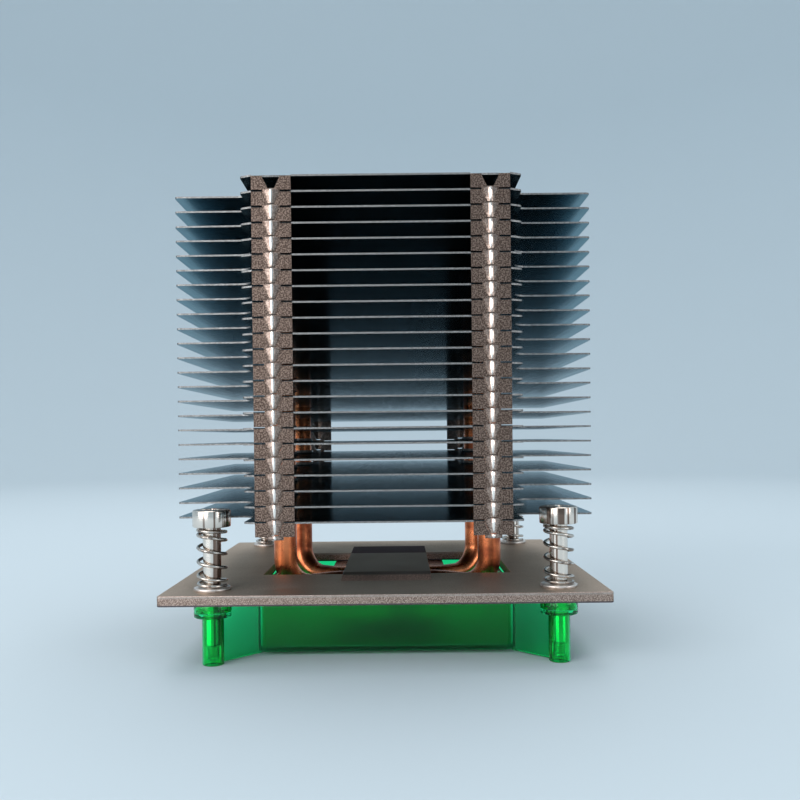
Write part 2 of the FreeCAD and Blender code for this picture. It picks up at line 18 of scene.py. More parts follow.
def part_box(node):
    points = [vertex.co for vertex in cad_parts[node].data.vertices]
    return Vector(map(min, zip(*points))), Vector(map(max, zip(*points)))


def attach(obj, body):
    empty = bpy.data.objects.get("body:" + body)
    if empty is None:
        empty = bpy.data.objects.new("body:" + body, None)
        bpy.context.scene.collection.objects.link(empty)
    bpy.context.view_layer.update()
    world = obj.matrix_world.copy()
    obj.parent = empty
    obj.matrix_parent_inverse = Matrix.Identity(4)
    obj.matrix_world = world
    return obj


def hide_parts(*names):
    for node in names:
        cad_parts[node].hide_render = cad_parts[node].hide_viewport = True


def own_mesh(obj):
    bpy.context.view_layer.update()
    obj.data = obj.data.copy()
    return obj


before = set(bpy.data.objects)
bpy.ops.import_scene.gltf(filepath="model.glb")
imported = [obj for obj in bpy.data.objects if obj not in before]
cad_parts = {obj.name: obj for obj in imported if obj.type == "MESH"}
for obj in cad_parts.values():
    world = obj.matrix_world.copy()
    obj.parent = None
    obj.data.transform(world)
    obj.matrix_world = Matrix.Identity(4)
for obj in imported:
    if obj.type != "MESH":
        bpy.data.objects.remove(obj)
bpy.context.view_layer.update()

# %% [markdown]
# ## Sizes
#
# All lengths here are in metres, because that is Blender's unit. Writing `3.4 * MM` keeps the
# numbers readable.

# %% Read the main sizes from the frame
MM = 0.001
SIDES = {"front_left": (-1, -1), "front_right": (1, -1), "rear_left": (-1, 1), "rear_right": (1, 1)}

plate_low, plate_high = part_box("mounting_plate")
fin_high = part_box("fin_02")[1]
fin_names = sorted(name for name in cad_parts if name.startswith("fin_"))
fin_tops = {name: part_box(name)[1].z for name in fin_names}
screw_axis = {}
for corner in SIDES:
    low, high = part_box("captive_screw_" + corner)
    screw_axis[corner] = Vector(((low.x + high.x) / 2, (low.y + high.y) / 2, 0))
rear_right = [round(side / MM, 1) for side in screw_axis["rear_right"].xy]
print("fins:", len(fin_names), "rear right screw at:", rear_right, "mm")

# %% [markdown]
# ## Camera
#
# The camera looks along +Y, nearly level with the middle of the fins, so the upper fins show
# their undersides and the lower ones their tops. It hangs a little out of true, as a camera held
# in the hand does. A rotation order of ZXY lets the roll about the line of sight come first and
# the tilt second.

# %% Place the camera
def put_in_scene(name, data):
    """Make an object of a mesh, a lamp or a camera, and link it to the scene."""
    thing = bpy.data.objects.new(name, data)
    bpy.context.collection.objects.link(thing)
    return thing


CAMERA_TILT = math.radians(90 - 0.54)
CAMERA_ROLL = math.radians(-0.617)
camera_data = bpy.data.cameras.new("camera")
camera_data.lens = 37.94
camera_data.sensor_width = 36.0
camera_data.shift_y = 0.056
camera_data.clip_start = 0.01
camera = put_in_scene("camera", camera_data)
camera.location = Vector((3.64, -234.4, 52.04)) * MM
camera.rotation_mode = "ZXY"
camera.rotation_euler = (CAMERA_TILT, 0, CAMERA_ROLL)
bpy.context.scene.camera = camera
bpy.context.scene.view_settings.view_transform = "Standard"
print("camera distance:", round(camera.location.length, 3))

# %% [markdown]
# ## Helpers for pieces
#
# Every piece goes through one function at the end. It makes the mesh, gives it its finish, hangs
# it on the empty of the body that carries it, and hides the solid that it stands for. Smooth
# shading, with breaks where two faces meet sharply, is set before, by `mark_sharp`.

# %% A function that turns a bmesh into a finished piece
def mark_sharp(bm, degrees):
    """Smooth every face, and let the light break only at edges sharper than this."""
    for face in bm.faces:
        face.smooth = True
    for edge in bm.edges:
        edge.smooth = edge.is_manifold and edge.calc_face_angle(0) < math.radians(degrees)


def flatten_large(bm, area=20 * MM * MM):
    """Let a large flat face keep its own direction right up to its rounded edges."""
    for face in bm.faces:
        if face.calc_area() > area:
            face.smooth = False


def make_mesh(name, bm):
    """Turn a bmesh into one of Blender's meshes, and let the bmesh go."""
    mesh = bpy.data.meshes.new(name)
    bm.to_mesh(mesh)
    bm.free()
    return mesh


def finish_piece(name, bm, material, body, nodes):
    mesh = make_mesh(name, bm)
    mesh.materials.append(material)
    piece = put_in_scene(name, mesh)
    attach(piece, body)
    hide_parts(*nodes)
    return piece


# %% [markdown]
# A long way round a shape is easiest in small steps. `push` extrudes a ring of edges along a
# straight line, and `bend` spins it about an axis. Both give back the new ring, so a pipe is a
# short list of pushes and bends. Parts of a mesh are gathered in lists that keep their order, and
# not in sets, so that every run makes the same mesh.

# %% Functions that push and bend a ring of edges
def verts_in(made):
    """The vertices among the parts that an operator made."""
    return [item for item in made if isinstance(item, bmesh.types.BMVert)]


def corners_of(ring):
    """The vertices of a ring of edges, each of them once."""
    return list(dict.fromkeys(vert for edge in ring for vert in edge.verts))


def edges_at(verts):
    """The edges that meet at some vertices, each of them once."""
    return list(dict.fromkeys(edge for vert in verts for edge in vert.link_edges))


def push(bm, ring, offset):
    made = bmesh.ops.extrude_edge_only(bm, edges=ring)["geom"]
    verts = verts_in(made)
    bmesh.ops.translate(bm, verts=verts, vec=offset)
    return [item for item in made if isinstance(item, bmesh.types.BMEdge)
            and item.verts[0] in verts and item.verts[1] in verts]


def widen(bm, ring, centre, factor, offset=(0, 0, 0)):
    """Push a ring and scale it about a centre in the plane of the sheet."""
    new_ring = push(bm, ring, offset)
    bmesh.ops.scale(bm, vec=(factor, factor, 1), verts=corners_of(new_ring),
                    space=Matrix.Translation(-centre))
    return new_ring


def bend(bm, ring, centre, axis, angle, steps, climb=0.0):
    made = bmesh.ops.spin(bm, geom=ring + corners_of(ring), cent=centre, axis=axis,
                          dvec=Vector(axis) * climb, angle=angle, steps=steps,
                          use_duplicate=False)["geom_last"]
    return [item for item in made if isinstance(item, bmesh.types.BMEdge)]


def close(bm, ring):
    bmesh.ops.contextual_create(bm, geom=ring)


# %% Functions that cut, select and turn what is there
def whole(bm):
    """Everything in a bmesh, in the form that the operators take."""
    return bm.verts[:] + bm.edges[:] + bm.faces[:]


def rule_line(bm, point, normal):
    """Cut a mesh along a plane, and keep both sides."""
    bmesh.ops.bisect_plane(bm, geom=whole(bm), plane_co=point, plane_no=normal, dist=1e-7)


def lies_level(item, height):
    """Whether a face or an edge has all its corners at one height."""
    return all(abs(vert.co.z - height) < 1e-7 for vert in item.verts)


def face_outwards(bm, distance=0.001 * MM):
    """Join what lies together, then turn every face outwards."""
    bmesh.ops.remove_doubles(bm, verts=bm.verts, dist=distance)
    bmesh.ops.recalc_face_normals(bm, faces=bm.faces)


# %% [markdown]
# ## Shader groups
#
# Metal that has been handled is never one value all over. Three effects appear in most finishes
# here, so each is a node group. `Soft patches` gives slow changes, such as tarnish and finger
# marks. `Fine grain` gives the tiny speckle of a blasted or cast surface. `Drawn lines` stretches
# its noise along one axis, as rolling and drawing do.

# %% A function that starts a node group
def start_group(name, inputs, outputs):
    group = bpy.data.node_groups.new(name, "ShaderNodeTree")
    for label, kind, value in inputs:
        socket = group.interface.new_socket(name=label, in_out="INPUT", socket_type=kind)
        socket.default_value = value
    for label, kind in outputs:
        group.interface.new_socket(name=label, in_out="OUTPUT", socket_type=kind)
    return group, group.nodes.new("NodeGroupInput"), group.nodes.new("NodeGroupOutput")


FLOAT = "NodeSocketFloat"
VECTOR = "NodeSocketVector"


def add_node(tree, kind, **settings):
    node = tree.nodes.new(kind)
    for key, value in settings.items():
        setattr(node, key, value)
    return node


def ramp_between(tree, value, low, high):
    """A smooth 0 to 1 mask as the value goes from low to high."""
    node = add_node(tree, "ShaderNodeMapRange", interpolation_type="SMOOTHSTEP")
    node.inputs["From Min"].default_value = low
    node.inputs["From Max"].default_value = high
    tree.links.new(value, node.inputs["Value"])
    return node.outputs["Result"]


# %% The Soft patches group
def make_soft_patches():
    group, ins, outs = start_group(
        "Soft patches", [("Scale", FLOAT, 60.0), ("Cover", FLOAT, 0.5)], [("Mask", FLOAT)]
    )
    place = add_node(group, "ShaderNodeTexCoord")
    noise = add_node(group, "ShaderNodeTexNoise")
    noise.inputs["Detail"].default_value = 5.0
    noise.inputs["Roughness"].default_value = 0.6
    group.links.new(place.outputs["Object"], noise.inputs["Vector"])
    group.links.new(ins.outputs["Scale"], noise.inputs["Scale"])
    shift = add_node(group, "ShaderNodeMath", operation="ADD")
    group.links.new(noise.outputs["Fac"], shift.inputs[0])
    group.links.new(ins.outputs["Cover"], shift.inputs[1])
    mask = ramp_between(group, shift.outputs["Value"], 0.85, 1.2)
    group.links.new(mask, outs.inputs["Mask"])
    return group


soft_patches = make_soft_patches()
print("group:", soft_patches.name)


# %% The Fine grain group
def make_fine_grain():
    group, ins, outs = start_group(
        "Fine grain", [("Scale", FLOAT, 4000.0)], [("Speckle", FLOAT), ("Height", FLOAT)]
    )
    place = add_node(group, "ShaderNodeTexCoord")
    noise = add_node(group, "ShaderNodeTexNoise")
    noise.inputs["Detail"].default_value = 3.0
    group.links.new(place.outputs["Object"], noise.inputs["Vector"])
    group.links.new(ins.outputs["Scale"], noise.inputs["Scale"])
    speckle = ramp_between(group, noise.outputs["Fac"], 0.42, 0.62)
    group.links.new(speckle, outs.inputs["Speckle"])
    group.links.new(noise.outputs["Fac"], outs.inputs["Height"])
    return group


fine_grain = make_fine_grain()
print("group:", fine_grain.name)


# %% The Drawn lines group
def make_drawn_lines():
    group, ins, outs = start_group(
        "Drawn lines",
        [("Stretch", VECTOR, (2500.0, 60.0, 2500.0))],
        [("Lines", FLOAT)],
    )
    place = add_node(group, "ShaderNodeTexCoord")
    stretch = add_node(group, "ShaderNodeVectorMath", operation="MULTIPLY")
    noise = add_node(group, "ShaderNodeTexNoise")
    noise.inputs["Scale"].default_value = 1.0
    noise.inputs["Detail"].default_value = 4.0
    group.links.new(place.outputs["Object"], stretch.inputs[0])
    group.links.new(ins.outputs["Stretch"], stretch.inputs[1])
    group.links.new(stretch.outputs["Vector"], noise.inputs["Vector"])
    group.links.new(noise.outputs["Fac"], outs.inputs["Lines"])
    return group


drawn_lines = make_drawn_lines()
print("group:", drawn_lines.name)


# %% [markdown]
# A material is then a few calls. `Finish` holds one material's tree with its Principled shader,
# and its small methods place a group, mix two colours by a mask, spread the roughness between two
# values, and turn a height into a bump.

# %% A class that assembles a finish
class Finish:
    def __init__(self, name, metallic=1.0, tint=None):
        self.material = bpy.data.materials.new(name)
        self.material.use_nodes = True
        self.tree = self.material.node_tree
        self.shader = self.tree.nodes["Principled BSDF"]
        self.shader.inputs["Metallic"].default_value = metallic
        if tint:
            self.shader.inputs["Specular Tint"].default_value = (*tint, 1)

    def feed(self, socket, value):
        """Link another node's output to a socket, or write a plain number or colour on it."""
        if isinstance(value, bpy.types.NodeSocket):
            self.tree.links.new(value, socket)
        else:
            socket.default_value = (*value, 1) if isinstance(value, tuple) else value

    def group(self, group, **values):
        node = add_node(self.tree, "ShaderNodeGroup", node_tree=group)
        for label, value in values.items():
            node.inputs[label].default_value = value
        return node.outputs

    def colours(self, mask, first, second):
        """The first colour where the mask is 0 and the second where it is 1."""
        mix = add_node(self.tree, "ShaderNodeMix", data_type="RGBA")
        self.feed(mix.inputs["Factor"], mask)
        self.feed(mix.inputs[6], first)
        self.feed(mix.inputs[7], second)
        return mix.outputs[2]

    def blend(self, mask, low, high):
        """A value that goes from low to high as the mask goes from 0 to 1."""
        mix = add_node(self.tree, "ShaderNodeMix", data_type="FLOAT")
        self.feed(mix.inputs["Factor"], mask)
        self.feed(mix.inputs[2], low)
        self.feed(mix.inputs[3], high)
        return mix.outputs[0]

    def maths(self, operation, first, second=0.0):
        node = add_node(self.tree, "ShaderNodeMath", operation=operation)
        self.feed(node.inputs[0], first)
        self.feed(node.inputs[1], second)
        return node.outputs["Value"]

    def ramp(self, value, low, high):
        return ramp_between(self.tree, value, low, high)

    def place_along(self, axis, output="Object"):
        """Where a point of the piece lies along an axis."""
        place = add_node(self.tree, "ShaderNodeTexCoord")
        split = add_node(self.tree, "ShaderNodeSeparateXYZ")
        self.tree.links.new(place.outputs[output], split.inputs["Vector"])
        return split.outputs[axis]

    def off_middle(self, axis):
        """How far a point lies from the middle along an axis, either way."""
        return self.maths("ABSOLUTE", self.place_along(axis))

    def direction(self, axis):
        """How far a face looks along an axis, either way, from 0 to 1."""
        return self.maths("ABSOLUTE", self.place_along(axis, "Normal"))

    def set(self, colour, roughness, height, strength, depth=0.02 * MM):
        """Feed the shader's colour and roughness, and its normal by way of a bump."""
        bump = add_node(self.tree, "ShaderNodeBump")
        bump.inputs["Strength"].default_value = strength
        bump.inputs["Distance"].default_value = depth
        self.feed(bump.inputs["Height"], height)
        self.feed(self.shader.inputs["Base Color"], colour)
        self.feed(self.shader.inputs["Roughness"], roughness)
        self.feed(self.shader.inputs["Normal"], bump.outputs["Normal"])
        return self.material


# %% [markdown]
# ## Fin finish
#
# The fins are bare rolled aluminium, smooth enough to mirror each other; the cool blue of the
# sheets is a painted reflection of blue surroundings. Their folded flanges are duller and browner,
# because they are handled. The creased tongues are rubbed bright and also carry a painted
# highlight, and the near-white line along each crest is a painted highlight. One material does it
# all: masks from the place on the fin tell sheet, cut edge, flange and tongue apart. The masks need
# the column's sizes, so those are set first.

# %% Sizes that the finish and the fin share
FRONT_EDGE = 50.6 * MM
FOLD_RADIUS = 0.5 * MM
FOLD_START = FRONT_EDGE - FOLD_RADIUS
COLUMN_X = 23.875 * MM
COLUMN_HALF = 4.325 * MM
print("flange columns at", round(COLUMN_X / MM, 3), "mm from the middle")


# %% The fin finish
def make_fin_finish():
    # The blue specular tint, and the cool blue of the sheet colours below, are a painted reflection
    # of blue surroundings.
    finish = Finish("fin_aluminium", tint=(0.40, 0.54, 0.60))
    lines = finish.group(drawn_lines, Stretch=(1800.0, 40.0, 1800.0))["Lines"]
    patches = finish.group(soft_patches, Scale=90.0, Cover=0.5)["Mask"]
    grain = finish.group(fine_grain, Scale=3200.0)
    # Painted reflection: the sheet colours are tinted cool blue.
    sheet = finish.colours(patches, (0.31, 0.385, 0.42), (0.275, 0.345, 0.375))
    cut = finish.colours(grain["Speckle"], (0.20, 0.19, 0.185), (0.34, 0.33, 0.32))
    flange = finish.colours(grain["Speckle"], (0.085, 0.056, 0.045), (0.27, 0.195, 0.158))
    # The tongue colour is rubbed metal with a painted highlight: lighter than the flange, as the
    # lit slopes of the tongues look.
    tongue_rub_and_painted_highlight = finish.colours(grain["Speckle"], (0.24, 0.175, 0.145), (0.43, 0.325, 0.275))

    reach = finish.off_middle("Y")
    aside = finish.maths("ABSOLUTE", finish.maths("SUBTRACT", finish.off_middle("X"), COLUMN_X))
    upright = finish.ramp(finish.direction("Z"), 0.8, 0.5)
    in_front = finish.ramp(reach, FOLD_START, FOLD_START + 0.2 * MM)
    in_column = finish.ramp(aside, COLUMN_HALF + 0.1 * MM, COLUMN_HALF)
    on_flange = finish.maths("MULTIPLY", finish.maths("MULTIPLY", in_front, in_column), upright)
    on_tongue = finish.ramp(reach, FRONT_EDGE + 0.02 * MM, FRONT_EDGE + 0.10 * MM)
    on_crest = finish.ramp(reach, FRONT_EDGE + 0.22 * MM, FRONT_EDGE + 0.32 * MM)

    colour = finish.colours(upright, sheet, cut)
    colour = finish.colours(on_flange, colour, flange)
    colour = finish.colours(on_tongue, colour, tongue_rub_and_painted_highlight)
    # Painted highlight: a near-white line along each tongue's crest.
    colour = finish.colours(on_crest, colour, (0.96, 0.89, 0.83))
    rough = finish.blend(lines, 0.15, 0.28)
    rough = finish.blend(upright, rough, 0.5)
    rough = finish.blend(on_flange, rough, finish.blend(grain["Speckle"], 0.52, 0.42))
    rough = finish.blend(on_tongue, rough, 0.28)
    rough = finish.blend(on_crest, rough, 0.16)
    height = finish.maths("MULTIPLY", grain["Height"], upright)
    return finish.set(colour, rough, height, 0.3)


fin_finish = make_fin_finish()
print("finish:", fin_finish.name)


# %% [markdown]
# ## Copper finish
#
# Copper browns where it is warmed and handled. The pipes keep a bright orange between the brown
# patches, and fine lines run along them from drawing. The block is milled, so its lines run from
# side to side.

# %% The copper finishes
def make_copper_finish(name, bright, brown, cover, line_stretch):
    finish = Finish(name)
    patches = finish.group(soft_patches, Scale=130.0, Cover=cover)["Mask"]
    lines = finish.group(drawn_lines, Stretch=line_stretch)["Lines"]
    grain = finish.group(fine_grain, Scale=3000.0)
    colour = finish.colours(patches, bright, brown)
    dull = finish.blend(patches, 0.16, 0.36)
    rough = finish.blend(lines, dull, 0.30)
    return finish.set(colour, rough, finish.maths("ADD", lines, grain["Height"]), 0.25)


pipe_finish = make_copper_finish(
    "pipe_copper", (0.92, 0.29, 0.115), (0.32, 0.075, 0.035), 0.52, (1200.0, 1200.0, 40.0)
)
block_finish = make_copper_finish(
    "block_copper", (0.74, 0.33, 0.19), (0.38, 0.16, 0.10), 0.50, (60.0, 1800.0, 1800.0)
)
print("finishes:", pipe_finish.name, block_finish.name)


# %% [markdown]
# ## Plate finish
#
# The plate is sheared from nickel-plated steel and then dulled by handling. Its flat faces are a
# dark warm grey with a faint speckle. The cut edges are different: the upper part was burnished
# by the shear and is smooth, and the lower part broke off and is rough, brown and sparkling.
# The ramps of the raised strip carry a painted highlight over a coarse speckle, the flat top of
# the strip is painted darker as shade from the fins above it, and the rear part of that top is
# painted a dark purple-black.

# %% The plate finish
def make_plate_finish():
    finish = Finish("plate_steel", tint=(0.62, 0.52, 0.44))
    patches = finish.group(soft_patches, Scale=45.0, Cover=0.5)["Mask"]
    grain = finish.group(fine_grain, Scale=4200.0)
    coarse = finish.group(fine_grain, Scale=4600.0)
    flat = finish.colours(patches, (0.54, 0.455, 0.39), (0.44, 0.365, 0.31))
    flat = finish.colours(grain["Speckle"], flat, (0.64, 0.545, 0.47))
    # Painted highlight: the ramps, turned towards the light, are painted lighter; the speckle on
    # them is coarse grain.
    ramps = finish.ramp(finish.direction("Z"), 0.995, 0.985)
    ramp_painted_highlight = finish.colours(coarse["Speckle"], (0.50, 0.34, 0.29), (1.0, 0.76, 0.67))
    flat = finish.colours(ramps, flat, ramp_painted_highlight)
    broken = finish.colours(coarse["Speckle"], (0.22, 0.15, 0.12), (0.58, 0.44, 0.37))
    burnished = finish.colours(grain["Speckle"], (0.36, 0.29, 0.25), (0.50, 0.41, 0.36))
    height = finish.place_along("Z")
    upper = finish.ramp(height, plate_low.z + 1.7 * MM, plate_low.z + 2.0 * MM)
    rolled = finish.ramp(height, plate_low.z + 0.45 * MM, plate_low.z + 0.25 * MM)
    edge = finish.colours(upper, broken, burnished)
    edge = finish.colours(rolled, edge, (0.10, 0.09, 0.10))
    behind = finish.ramp(finish.place_along("Y"), 8.8 * MM, 9.8 * MM)
    raised = finish.ramp(height, plate_high.z - 0.6 * MM, plate_high.z - 0.3 * MM)
    band = finish.maths("MULTIPLY", behind, raised)
    # Painted shade: the flat top of the raised strip, under the fins, is painted darker.
    flat = finish.colours(raised, flat, (0.31, 0.275, 0.255))
    # The rear part of the raised top is painted dark purple-black, dull and not metallic.
    flat = finish.colours(band, flat, (0.085, 0.040, 0.050))
    on_edge = finish.maths("SUBTRACT", 1.0, finish.ramp(finish.direction("Z"), 0.3, 0.7))
    colour = finish.colours(on_edge, flat, edge)
    rough = finish.blend(on_edge, finish.blend(patches, 0.46, 0.58), 0.45)
    rough = finish.blend(band, rough, 0.85)
    finish.feed(finish.shader.inputs["Metallic"], finish.maths("SUBTRACT", 1.0, band))
    bumps = finish.blend(on_edge, grain["Height"], coarse["Height"])
    return finish.set(colour, rough, bumps, 0.5, 0.05 * MM)


plate_finish = make_plate_finish()
print("finish:", plate_finish.name)


# %% [markdown]
# ## Plated steel finishes
#
# Screws, springs and washers are nickel-plated: bright, a little warm, with fine turning or
# drawing marks. On the screws, long dark brown streaks that run with the shank are a painted
# reflection of dark surroundings, so their pattern is stretched along Z; on the springs, washers
# and clips the same mix gives broad worn patches. The clips are plain spring steel and darker.

# %% The plated finishes
def make_plated_finish(name, clean, wear_and_reflection_tone, smooth, stretch, streak):
    finish = Finish(name)
    streaks = finish.group(drawn_lines, Stretch=streak)["Lines"]
    upright = finish.ramp(finish.direction("Z"), 0.8, 0.5)
    # One mask gives broad worn patches on springs, washers and clips, and on the screws long dark
    # streaks that are a painted reflection.
    patches = finish.maths("MULTIPLY", finish.ramp(streaks, 0.50, 0.57), upright)
    lines = finish.group(drawn_lines, Stretch=stretch)["Lines"]
    colour = finish.colours(patches, clean, wear_and_reflection_tone)
    rough = finish.blend(lines, smooth, smooth + 0.16)
    return finish.set(colour, rough, lines, 0.12)


BROAD = (500.0, 500.0, 500.0)
FINE = (900.0, 900.0, 900.0)
# Painted reflection: the dark brown streaks along the screw shanks stand in for reflected dark
# surroundings.
screw_finish = make_plated_finish(
    "screw_steel", (0.84, 0.75, 0.67), (0.20, 0.135, 0.105), 0.14, (60.0, 60.0, 4200.0),
    (900.0, 900.0, 9.0)
)
spring_finish = make_plated_finish(
    "spring_steel", (0.66, 0.59, 0.53), (0.28, 0.23, 0.20), 0.16, BROAD, BROAD
)
washer_finish = make_plated_finish(
    "washer_steel", (0.82, 0.74, 0.69), (0.60, 0.53, 0.48), 0.34, FINE, BROAD
)
ring_finish = make_plated_finish(
    "ring_steel", (0.42, 0.41, 0.40), (0.24, 0.23, 0.22), 0.26, FINE, BROAD
)
print("finishes:", screw_finish.name, spring_finish.name, washer_finish.name, ring_finish.name)


# %% [markdown]
# ## Cover finish
#
# The cover is a clear, deep green moulding. The shader lets the light through as glass does, so
# the screws show in their sleeves. The tray is textured and blurs what is behind it. Faint scuffs
# roughen the rest in patches. Low waves and level flow lines, left by the plastic as it filled the
# mould, bend what is seen through the walls.

# %% The cover finish
def make_cover_finish():
    finish = Finish("cover_plastic", metallic=0.0, tint=(0.45, 0.95, 0.60))
    finish.shader.inputs["Transmission Weight"].default_value = 1.0
    finish.shader.inputs["IOR"].default_value = 1.49
    patches = finish.group(soft_patches, Scale=70.0, Cover=0.42)["Mask"]
    flow = finish.group(drawn_lines, Stretch=(25.0, 25.0, 900.0))["Lines"]
    waves = finish.group(soft_patches, Scale=110.0, Cover=0.5)["Mask"]
    colour = finish.colours(patches, (0.02, 0.90, 0.29), (0.02, 0.82, 0.25))
    height = finish.maths("ADD", waves, finish.maths("MULTIPLY", flow, 0.4))
    on_tray = finish.ramp(finish.off_middle("X"), 33.0 * MM, 30.0 * MM)
    rough = finish.blend(on_tray, finish.blend(patches, 0.03, 0.10), 0.30)
    return finish.set(colour, rough, height, 0.25, 0.1 * MM)


cover_finish = make_cover_finish()
print("finish:", cover_finish.name)


# %% [markdown]
# ## Fins
#
# A real fin starts as a strip of aluminium. A press cuts its outline, draws a short collar round
# each pipe hole, folds two flanges down at the front and two at the rear, and creases a tongue
# into each flange. The tongue drops into the notch of the fin below, so the stack holds itself.
#
# The sheet is built as one surface and gets its thickness at the end. One function makes the front
# and the rear quarter of the right side, and a mirror adds the left side.

# %% The sizes of a fin
SHEET = 0.4 * MM
SHEET_BREAK = 0.05 * MM
WING_FRONT = 34.5 * MM
WING_ROOT = 36 * MM
SIDE_X = 30.8 * MM
SIDE_FRONT = 49.4 * MM
SLIT = 0.05 * MM
FIN_PITCH = fin_tops["fin_02"] - fin_tops["fin_01"]
NOTCH_HALF = 1.92 * MM
NOTCH_TIP_HALF = 0.68 * MM
NOTCH_DEPTH = 3.0 * MM
SHOULDER_GAP = 0.16 * MM
TONGUE_GAP = 0.02 * MM
FLANGE_DROP = FIN_PITCH - SHOULDER_GAP
TONGUE_HALF = NOTCH_HALF - TONGUE_GAP
TONGUE_TAPER = (NOTCH_HALF - NOTCH_TIP_HALF) / (NOTCH_DEPTH - FOLD_RADIUS)
CREST_RISE = fin_high.y - FRONT_EDGE
CREST_SECTION = ((0.52 * MM, 0.40), (0.10 * MM, 0.95), (0.0, 1.0))
CREST_SWELL = ((0.0, 0.9), (0.25, 1.0), (0.7, 0.85), (1.0, 0.6))
NOTCH_SWELL = 0.5
CREASES_FROM, CREASES_TO = 0.3 * MM, 2.2 * MM
FOLD_MARGIN = 0.1 * MM
LOWEST_TONGUE = 0.7 * MM
LEAST_FLANK = 0.02 * MM
PIPE_HOLES = {-1: (26.8 * MM, 12.75 * MM), 1: (25.4 * MM, 12.75 * MM)}
HOLE_RADIUS = 4.1 * MM
HOLE_SQUARE = 4.8 * MM
COLLAR = ((0.895, 0.07), (0.92, 0.2), (0.985, 0.25), (1.0, 0.45))
print("pitch:", round(FIN_PITCH / MM, 2), "crest rise:", round(CREST_RISE / MM, 2))


# %% [markdown]
# The quarter of the outline is one face with a few corners. A vertex bevel rounds the inner
# corner between body and wing, the wing tip, and the sloping tooth in front. `bisect_plane` then
# rules four lines round the pipe hole, which leaves a square face that can be swapped for a ring.

# %% Functions that cut one quarter of the sheet
def blank_quarter(bm, top):
    corners = [
        (0, 0), (fin_high.x, 0), (fin_high.x, -WING_FRONT), (SIDE_X, -WING_FRONT),
        (SIDE_X, -SIDE_FRONT), (COLUMN_X + COLUMN_HALF + SLIT, -FRONT_EDGE),
        (COLUMN_X + COLUMN_HALF, -FOLD_START), (COLUMN_X + NOTCH_HALF, -FOLD_START),
        (COLUMN_X - NOTCH_HALF, -FOLD_START), (COLUMN_X - COLUMN_HALF, -FOLD_START),
        (COLUMN_X - COLUMN_HALF - SLIT, -FRONT_EDGE), (0, -FRONT_EDGE),
    ]
    verts = [bm.verts.new((x, y, top)) for x, y in corners]
    bm.faces.new(verts)
    for corner, radius in ((verts[3], 3.2), (verts[2], 0.9), (verts[4], 0.5)):
        bmesh.ops.bevel(bm, geom=[corner], offset=radius * MM, segments=6, profile=0.5,
                        affect="VERTICES", offset_type="OFFSET", material=-1)


def open_pipe_hole(bm, centre):
    """Swap the square face round the hole for a ring, and draw a collar up from it."""
    for normal in (Vector((1, 0, 0)), Vector((0, 1, 0))):
        for side in (-1, 1):
            rule_line(bm, centre + normal * side * HOLE_SQUARE, normal)
    square = min(bm.faces, key=lambda face: (face.calc_center_median() - centre).length)
    bmesh.ops.subdivide_edges(bm, edges=square.edges[:], cuts=7, use_grid_fill=False)
    outer = square.edges[:]
    bmesh.ops.delete(bm, geom=[square], context="FACES_ONLY")
    ring = push(bm, outer, (0, 0, 0))
    for vert in corners_of(ring):
        vert.co = centre + (vert.co - centre).normalized() * HOLE_RADIUS
    for factor, rise in COLLAR:
        ring = widen(bm, ring, centre, factor, (0, 0, rise * MM))


# %% [markdown]
# A flange is half a polygon, mirrored about the middle of its column. Cuts beside the middle and
# across the tongue rule it into a few cells. Moving their corners outwards, most at the middle,
# turns the flat tongue into two slopes that meet in a rounded crest. The fold itself is a quarter
# turn of the flange's top edge.

# %% A function that adds one folded flange
def pour_in(bm, mesh):
    """Add a mesh to a bmesh, and let the mesh go."""
    bm.from_mesh(mesh)
    bpy.data.meshes.remove(mesh)


def add_flange(bm, top, tongue_length):
    flange = bmesh.new()
    low, notch, fold_line = top - FLANGE_DROP, top - NOTCH_DEPTH, top - FOLD_RADIUS
    shoulder = low - SHOULDER_GAP - FOLD_RADIUS
    tip = low - tongue_length
    tip_half = TONGUE_HALF - TONGUE_TAPER * max(shoulder - tip, 0)
    corners = [
        (0, notch), (NOTCH_TIP_HALF, notch), (NOTCH_HALF, fold_line), (COLUMN_HALF, fold_line),
        (COLUMN_HALF, low), (TONGUE_HALF, low), (TONGUE_HALF, max(shoulder, tip + LEAST_FLANK)),
        (tip_half, tip), (0, tip),
    ]
    flange.faces.new([flange.verts.new((x, -FRONT_EDGE, z)) for x, z in corners])
    rows = [(low - part * tongue_length, swell) for part, swell in CREST_SWELL]
    rules = [((half, 0, 0), (1, 0, 0)) for half, rise in CREST_SECTION if half > 0]
    rules += [((0, 0, height), (0, 0, 1)) for height, swell in rows[:-1]]
    for point, normal in rules:
        rule_line(flange, point, normal)
    rows.append((notch, NOTCH_SWELL))
    for half, rise in CREST_SECTION:
        for height, swell in rows:
            spot = [vert for vert in flange.verts
                    if abs(vert.co.x - half) < 1e-6 and abs(vert.co.z - height) < 1e-6]
            bmesh.ops.translate(flange, verts=spot, vec=(0, -CREST_RISE * rise * swell, 0))
    fold = [edge for edge in flange.edges if lies_level(edge, fold_line)]
    bend(flange, fold, (0, -FOLD_START, fold_line), (1, 0, 0), -math.pi / 2, 4)
    bmesh.ops.mirror(flange, geom=whole(flange), axis="X", merge_dist=1e-6)
    bmesh.ops.translate(flange, verts=flange.verts, vec=(COLUMN_X, 0, 0))
    pour_in(bm, make_mesh("flange", flange))


# %% [markdown]
# One fin joins four quarters. A seeded random number then lets each sheet lie a few hundredths of
# a millimetre out of flat at its wings, as thin sheet does, so that no two edges shine alike.

